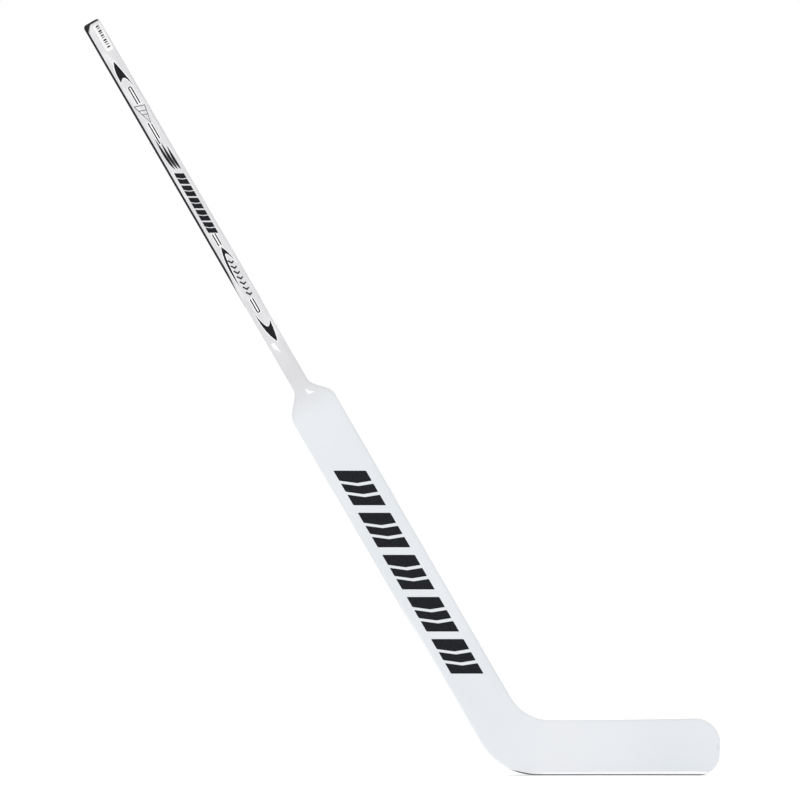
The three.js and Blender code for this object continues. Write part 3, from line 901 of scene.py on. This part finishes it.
def painted_edge_highlight(tree, travel, across, turn):
    """How much painted highlight whitens the laminate: round the outer edge low on the paddle, and
    above the sole.
    """
    outer = ranged(tree, across, 0.0, -10 * MM)
    round_edge = maths(tree, "MULTIPLY", outer, ranged(tree, turn, 0.05, 0.6, 0, 0.75))
    low = ranged(tree, travel, HEEL_TRAVEL - 0.25, HEEL_TRAVEL - 0.1)
    round_edge = maths(tree, "MULTIPLY", round_edge, low)
    above_sole = ranged(tree, across, -39.5 * MM, -41.2 * MM, 0, 0.75)
    on_blade = ranged(tree, travel, BLADE_TRAVEL - 0.03, BLADE_TRAVEL)
    above_sole = maths(tree, "MULTIPLY", above_sole, on_blade)
    return maths(tree, "MAXIMUM", round_edge, above_sole)


def white_laminate():
    """White paint over glass cloth: faint clouds, silver at its top, rubbed along its edges,
    lighter round the heel as painted light, and with painted highlights along the outer edge and
    above the sole.
    """
    material, tree, shader = new_material("white_laminate", WHITE, 0.26, 0.3)
    place = stick_place(tree)
    split = node(tree, "SeparateXYZ", {"Vector": place})
    travel, across, turn = [split.outputs[axis] for axis in "XYZ"]
    cloudy = noise(tree, stretched(tree, place, (5, 11, 0)), 1.0)
    white = mixed(tree, ranged(tree, cloudy, 0.25, 0.8, 0, 0.4), WHITE, WHITE_LIGHT)
    # painted light: the laminate lighter round the heel, fading along the blade towards the toe
    heel = ranged(tree, travel, HEEL_TRAVEL - 0.06, BLADE_TRAVEL, 0, 0.5)
    heel = maths(tree, "MULTIPLY", heel, ranged(tree, travel, TOE_TRAVEL, BLADE_TRAVEL + 0.02))
    white = mixed(tree, heel, white, WHITE_LIGHT)
    below = ranged(tree, travel, BUTT_HEIGHT - WRAP_TOP, BUTT_HEIGHT - INNER_SHOULDER[0] + 0.02)
    white = mixed(tree, below, SILVER, white)
    # painted highlight: the outer edge's rounding low on the paddle and a band just above the sole
    # made whiter
    edge_highlight = painted_edge_highlight(tree, travel, across, turn)
    white = mixed(tree, edge_highlight, white, EDGE_HIGHLIGHT_WHITE)
    worn = edge_wear(tree, place, 0.25)
    colour = mixed(tree, worn, white, RUBBED)
    fine = noise(tree, stretched(tree, place, (900, 900, 3)), 2.0)
    rough = ranged(tree, cloudy, 0.3, 0.7, 0.29, 0.36)
    rough = maths(tree, "ADD", rough, maths(tree, "MULTIPLY", worn, 0.6))
    woven = weave_bump(tree, place, 0.12)
    connect(tree, shader, colour, rough, bumped(tree, fine, 0.06, 0.05 * MM, woven))
    return material


def silver_lacquer():
    """Silver lacquer with long streaks, lighter in streaks and patches as painted reflections,
    sprayed black at the butt and down its outer corner.
    """
    material, tree, shader = new_material("silver_lacquer", SILVER, 0.24, 0.0, 0.2)
    place = stick_place(tree)
    split = node(tree, "SeparateXYZ", {"Vector": place})
    travel, across = split.outputs["X"], split.outputs["Y"]
    streaks = noise(tree, stretched(tree, place, (9, 420, 2)), 4.0)
    plain = ranged(tree, travel, BUTT_HEIGHT - WRAP_TOP, BUTT_HEIGHT - WRAP_TOP - 0.08)
    # painted reflections: lighter streaks and patches on the silver; the streaks also give the
    # lacquer its own roughness and bump
    streak_reflection = maths(tree, "MULTIPLY", ranged(tree, streaks, 0.4, 0.62, 0, 0.5), plain)
    silver = mixed(tree, streak_reflection, SILVER, SILVER_REFLECTION)
    patches = noise(tree, stretched(tree, place, (22, 90, 1)))
    patch_reflection = maths(tree, "MULTIPLY", ranged(tree, patches, 0.5, 0.68), plain)
    silver = mixed(tree, patch_reflection, silver, SILVER_REFLECTION)

    soft = noise(tree, stretched(tree, place, (160, 160, 2)), 2.0)
    wander = maths(tree, "MULTIPLY", maths(tree, "SUBTRACT", soft, 0.5), 0.12)
    patch = ranged(tree, across, -12 * MM, -1 * MM, 17 * MM, 4.6 * MM)
    near_butt = maths(tree, "DIVIDE", travel, patch)
    near_butt = maths(tree, "ADD", near_butt, wander)
    black = ranged(tree, near_butt, 1.0, 0.6)

    colour = mixed(tree, black, silver, BLACK)
    rough = ranged(tree, streaks, 0.3, 0.7, 0.29, 0.36)
    rough = maths(tree, "ADD", rough, maths(tree, "MULTIPLY", black, 0.15))
    connect(tree, shader, colour, rough, bumped(tree, streaks, 0.05, 0.03 * MM))
    return material


def ink(name, colour, roughness):
    """A printed film: nearly even, with the faint mottling of screen printing."""
    material, tree, shader = new_material(name, colour, roughness, 0.0, 0.1)
    place = stick_place(tree)
    mottled = noise(tree, stretched(tree, place, (240, 240, 1)), 4.0)
    lighter = tuple(min(1, c * 1.25 + 0.004) for c in colour)
    varied = mixed(tree, ranged(tree, mottled, 0.35, 0.7), colour, lighter)
    rough = ranged(tree, mottled, 0.3, 0.7, roughness - 0.05, roughness + 0.08)
    connect(tree, shader, varied, rough, bumped(tree, mottled, 0.05, 0.03 * MM))
    return material


def label_paper():
    material, tree, shader = new_material("label_paper", (0.86, 0.86, 0.85), 0.5)
    place = stick_place(tree)
    fibres = noise(tree, stretched(tree, place, (900, 2500, 1)), 5.0)
    colour = mixed(tree, ranged(tree, fibres, 0.3, 0.7), (0.74, 0.74, 0.735), (0.82, 0.82, 0.815))
    rough = ranged(tree, fibres, 0.3, 0.7, 0.42, 0.58)
    connect(tree, shader, colour, rough, bumped(tree, fibres, 0.2, 0.02 * MM))
    return material


def sole_grey():
    """The strip along the sole, dark grey where it shows as painted shade under the sole's
    rounding, with fine scratches along it.
    """
    material, tree, shader = new_material("sole_grey", (0.16, 0.16, 0.17), 0.5)
    place = stick_place(tree)
    scratches = noise(tree, stretched(tree, place, (30, 2000, 60)), 6.0)
    colour = mixed(tree, ranged(tree, scratches, 0.45, 0.7), (0.13, 0.13, 0.14), (0.26, 0.26, 0.27))
    rough = ranged(tree, scratches, 0.3, 0.7, 0.4, 0.62)
    connect(tree, shader, colour, rough, bumped(tree, scratches, 0.3, 0.05 * MM))
    return material


def wood(name, pale, dark, grain_scale):
    """Wood with its grain along the shaft, for the pieces inside."""
    material, tree, shader = new_material(name, pale, 0.6)
    place = node(tree, "TexCoord", {}).outputs["Object"]
    along = stretched(tree, place, (1, 1, 1), (0, LEAN, 0))
    grain = noise(tree, stretched(tree, along, (grain_scale, grain_scale, 5)), 6.0)
    pores = noise(tree, stretched(tree, along, (2200, 2200, 90)), 3.0)
    colour = mixed(tree, ranged(tree, grain, 0.35, 0.68), pale, dark)
    colour = mixed(tree, ranged(tree, pores, 0.62, 0.75, 0, 0.5), colour, dark)
    rough = ranged(tree, grain, 0.3, 0.7, 0.5, 0.72)
    connect(tree, shader, colour, rough, bumped(tree, pores, 0.3, 0.1 * MM))
    return material


def core_foam():
    material, tree, shader = new_material("core_foam", (0.82, 0.76, 0.58), 0.9)
    place = node(tree, "TexCoord", {}).outputs["Object"]
    cells = node(tree, "TexVoronoi", {"Vector": place, "Scale": 900.0}).outputs["Distance"]
    colour = mixed(tree, ranged(tree, cells, 0.2, 0.7), (0.84, 0.78, 0.6), (0.7, 0.63, 0.45))
    rough = ranged(tree, cells, 0.1, 0.8, 0.8, 0.95)
    connect(tree, shader, colour, rough, bumped(tree, cells, 0.5, 0.3 * MM))
    return material


WHITE_LAMINATE = white_laminate()
LACQUER = silver_lacquer()
BLACK_INK = ink("black_ink", (0.0075, 0.008, 0.0105), 0.35)
GREY_INK = ink("grey_ink", (0.17, 0.17, 0.175), 0.35)
# white ink of the keylines, and also of the two painted highlights
WHITE_INK_AND_HIGHLIGHT = ink("white_ink_and_highlight", (0.88, 0.88, 0.89), 0.35)
LABEL_PAPER = label_paper()
SOLE_SHADE_GREY = sole_grey()
ASPEN = wood("aspen", (0.74, 0.61, 0.38), (0.6, 0.45, 0.25), 160)
BIRCH = wood("birch", (0.66, 0.48, 0.27), (0.5, 0.33, 0.17), 220)
ASH = wood("ash", (0.6, 0.42, 0.22), (0.38, 0.24, 0.11), 110)
FOAM = core_foam()


# ---------------------------------------------------------------------------------------------
# Pieces


def laminate(name, side, replaced):
    """The continuous laminate over one face, from above the shoulders to the tip of the toe."""
    stations = stations_between(BUTT_HEIGHT - WRAP_TOP, END_TRAVEL)
    outside = [laminate_row(station, side, 0) for station in stations]
    inside = [laminate_row(station, side, LAMINATE) for station in stations]
    spots, faces = shell(outside, inside)
    make_piece(name, spots, faces, WHITE_LAMINATE, replaced)


def sole_strip():
    stations = stations_between(HEEL_TRAVEL, END_TRAVEL)
    # the strip is a piece of the stick; its dark edge showing along the sole is painted shade
    spots, faces = loft([strip_ring(station) for station in stations])
    make_piece("sole_shade_strip", spots, faces, SOLE_SHADE_GREY, ["sole_strip"])


def toe_block():
    start = BLADE_TRAVEL + TOE_BLOCK_X - BLADE_START_X
    stations = stations_between(start, END_TRAVEL)
    spots, faces = loft([toe_ring(station) for station in stations])
    make_piece("toe_core", spots, faces, ASH, ["toe_block"])


def shaft_ply(name, side, replaced):
    heights = [(CAP_FOOT - JOINT, 0), (WRAP_TOP + JOINT, 0)]
    heights += [(WRAP_TOP + JOINT, PLANED), (HEEL_TOP + JOINT, PLANED)]
    spots, faces = loft([ply_ring(height, side, planed) for height, planed in heights])
    make_piece(name, spots, faces, LACQUER, [replaced])


def shaft_laminate(name, side, replaced):
    half = SHAFT_WIDTH / 2 - PLY
    high = side * SHAFT_DEPTH / 2
    low = high - side * SHAFT_LAMINATE
    rings = []
    for height in (CAP_FOOT - JOINT, WRAP_TOP + JOINT):
        corners = [(-half, low), (half, low), (half, high), (-half, high)]
        rings.append([shaft_spot(height, across, depth, 0) for across, depth in corners])
    spots, faces = loft(rings)
    make_piece(name, spots, faces, LACQUER, [replaced])


def side_band(name, side, bare):
    """A film of black paint on a narrow side of the shaft and round its corners.

    bare is how much of each rounded corner it leaves bare, and it draws back to the flat of the
    narrow side along BAND_FADE."""

    def row(travel, lift):
        uncovered = lerp(bare, BAND_NARROWEST, smoothstep(travel, *BAND_FADE))
        turned = math.pi / 2 * (1 - uncovered)
        radius = SHAFT_ROUND + lift
        spots = []
        for depth_side in (-1, 1):
            corner = []
            for angle in evenly(turned, 0, 12):
                across = side * (SHAFT_WIDTH / 2 - SHAFT_ROUND + radius * math.cos(angle))
                depth = depth_side * (SHAFT_DEPTH / 2 - SHAFT_ROUND + radius * math.sin(angle))
                turn = 1 - angle / (math.pi / 2)
                corner.append(shaft_spot(BUTT_HEIGHT - travel, across, depth, turn))
            spots += corner if depth_side < 0 else corner[::-1]
        return spots

    travels = evenly(CAP_ROUND, BAND_FADE[1], 60)
    outside = [row(travel, FILM) for travel in travels]
    inside = [row(travel, -BAND_SUNK) for travel in travels]
    spots, faces = shell(outside, inside)
    make_piece(name, spots, faces, BLACK_INK)


def butt_cap():
    """A rounded end with a plug that sits in the core's socket."""
    half, half_deep = SHAFT_WIDTH / 2, SHAFT_DEPTH / 2
    plug = PLUG["half"]
    rings = [
        box_ring(CAP_FOOT - PLUG["length"], plug, plug, PLUG["round"]),
        box_ring(CAP_FOOT, plug, plug, PLUG["round"]),
        box_ring(CAP_FOOT, half, half_deep, SHAFT_ROUND),
    ]
    for angle in evenly(0, math.pi / 2, 12):
        height = BUTT_HEIGHT - CAP_ROUND + CAP_ROUND * math.sin(angle)
        inset = CAP_ROUND * (1 - math.cos(angle))
        radius = max(1 * MM, SHAFT_ROUND - inset * 0.4)
        rings.append(box_ring(height, half - inset, half_deep - inset, radius))
    spots, faces = loft(rings)
    make_piece("butt_end_cap", spots, faces, LACQUER, ["butt_cap"], 50)


def butt_label():
    """A paper label near the butt, towards the toe's side of the front face."""
    corners = [at_mm(*c) for c in ((7.6, -1), (7.6, 11), (53.6, 11), (53.6, -1))]
    spots, faces = film([rounded(corners, 1.5 * MM)], -1, LABEL)
    make_piece("stock_label", spots, faces, LABEL_PAPER, ["butt_label"])


def ink_piece(name, outlines, side, thickness, material):
    spots, faces = film(outlines, side, thickness)
    make_piece(name, spots, faces, material)


def printed_marks_and_glints(side, ending):
    marks, keylines = shaft_marks()
    marks["ink_paddle_tiles"] = tiles(**PADDLE_TILES)
    for name, outlines in marks.items():
        ink_piece(name + ending, outlines, side, FILM, BLACK_INK)
    ink_piece("white_keylines" + ending, keylines, side, WHITE_FILM, WHITE_INK_AND_HIGHLIGHT)
    ink_piece("ink_badge" + ending, badge_outline(), side, FILM, GREY_INK)
    # two painted highlights, as flicks of white film
    ink_piece("painted_glint_highlights" + ending, glint_highlights(), side, WHITE_FILM, WHITE_INK_AND_HIGHLIGHT)


def finish_inside():
    """The wood and foam pieces stay as they are and take their materials."""
    shoulder_blocks = ["outer_shoulder_block", "inner_shoulder_block"]
    edges = ["paddle_outer_edge", "paddle_inner_edge", "blade_top_edge"]
    foams = ["paddle_outer_foam", "paddle_inner_foam", "blade_upper_foam", "blade_lower_foam"]
    looks = [
        ("aspen", ASPEN, ["shaft_core"]),
        ("birch", BIRCH, ["blade_rib"]),
        ("ash", ASH, ["heel_block", *shoulder_blocks, *edges]),
        ("core_foam", FOAM, foams),
    ]
    for slot, material, names in looks:
        for name in names:
            inner = frame["nodes"][name]
            inner.data.materials.clear()
            inner.data.materials.append(material)


laminate("front_laminate", -1, ["paddle_front_skin", "heel_front_skin", "blade_front_skin"])
laminate("back_laminate", 1, ["paddle_back_skin", "heel_back_skin", "blade_back_skin"])
sole_strip()
toe_block()
shaft_ply("outer_side_ply", -1, "shaft_outer_ply")
shaft_ply("inner_side_ply", 1, "shaft_inner_ply")
shaft_laminate("shaft_front_laminate", -1, "shaft_front_skin")
shaft_laminate("shaft_back_laminate", 1, "shaft_back_skin")
butt_cap()
side_band("outer_black_band", -1, 0.2)
side_band("inner_black_band", 1, 0.94)
butt_label()
ink_piece("label_marks", label_marks(), -1, LABEL_INK, BLACK_INK)
printed_marks_and_glints(-1, "")
printed_marks_and_glints(1, "_back")
finish_inside()


# ---------------------------------------------------------------------------------------------
# Studio

def make_floor():
    mesh = bpy.data.meshes.new("floor")
    work = bmesh.new()
    bmesh.ops.create_circle(work, cap_ends=True, radius=FLOOR_RADIUS, segments=96)
    work.to_mesh(mesh)
    work.free()
    floor = bpy.data.objects.new("floor", mesh)
    floor.location.z = cad_bounds[0].z - 0.2 * MM
    bpy.context.scene.collection.objects.link(floor)
    material, tree, shader = new_material("floor_white", (0.92, 0.92, 0.92), 0.8, 0.0, 0.0)
    shader.inputs["Emission Color"].default_value = (1, 1, 1, 1)
    shader.inputs["Emission Strength"].default_value = 0.25
    mesh.materials.append(material)


def make_world():
    """White all round, and dimmer to the left and right so that narrow sides read as edges."""
    world = bpy.data.worlds.new("studio")
    world.use_nodes = True
    tree = world.node_tree
    direction = node(tree, "TexCoord", {}).outputs["Generated"]
    sideways = node(tree, "SeparateXYZ", {"Vector": direction}).outputs["X"]
    sideways = maths(tree, "ABSOLUTE", sideways, 0.0)
    strength = ranged(tree, sideways, 0.5, 1.0, 1.0, 0.8)
    background = tree.nodes["Background"]
    background.inputs["Color"].default_value = (1, 1, 1, 1)
    tree.links.new(strength, background.inputs["Strength"])
    bpy.context.scene.world = world


def make_light(name, place, size, power):
    light = bpy.data.lights.new(name, "AREA")
    light.shape = "RECTANGLE"
    light.size, light.size_y = size
    light.energy = power
    lamp = bpy.data.objects.new(name, light)
    lamp.location = place
    lamp.rotation_euler = (AIM - Vector(place)).to_track_quat("-Z", "Y").to_euler()
    bpy.context.scene.collection.objects.link(lamp)


def make_camera():
    camera = bpy.data.cameras.new("camera")
    camera.lens = LENS
    camera.sensor_width = SENSOR
    holder = bpy.data.objects.new("camera", camera)
    away = Vector((math.sin(AZIMUTH), -math.cos(AZIMUTH), 0))
    distance = VIEW_WIDTH * LENS / SENSOR
    holder.location = AIM + away * distance
    holder.rotation_euler = away.to_track_quat("Z", "Y").to_euler()
    camera.clip_start, camera.clip_end = 0.1, 200
    bpy.context.scene.collection.objects.link(holder)
    bpy.context.scene.camera = holder


make_floor()
make_world()
make_light("key", (-1.6, -2.6, 2.4), (1.8, 1.8), 12)
make_light("fill", (2.2, -2.4, 1.2), (1.5, 2.2), 5)
make_camera()
bpy.context.scene.view_settings.view_transform = "Standard"
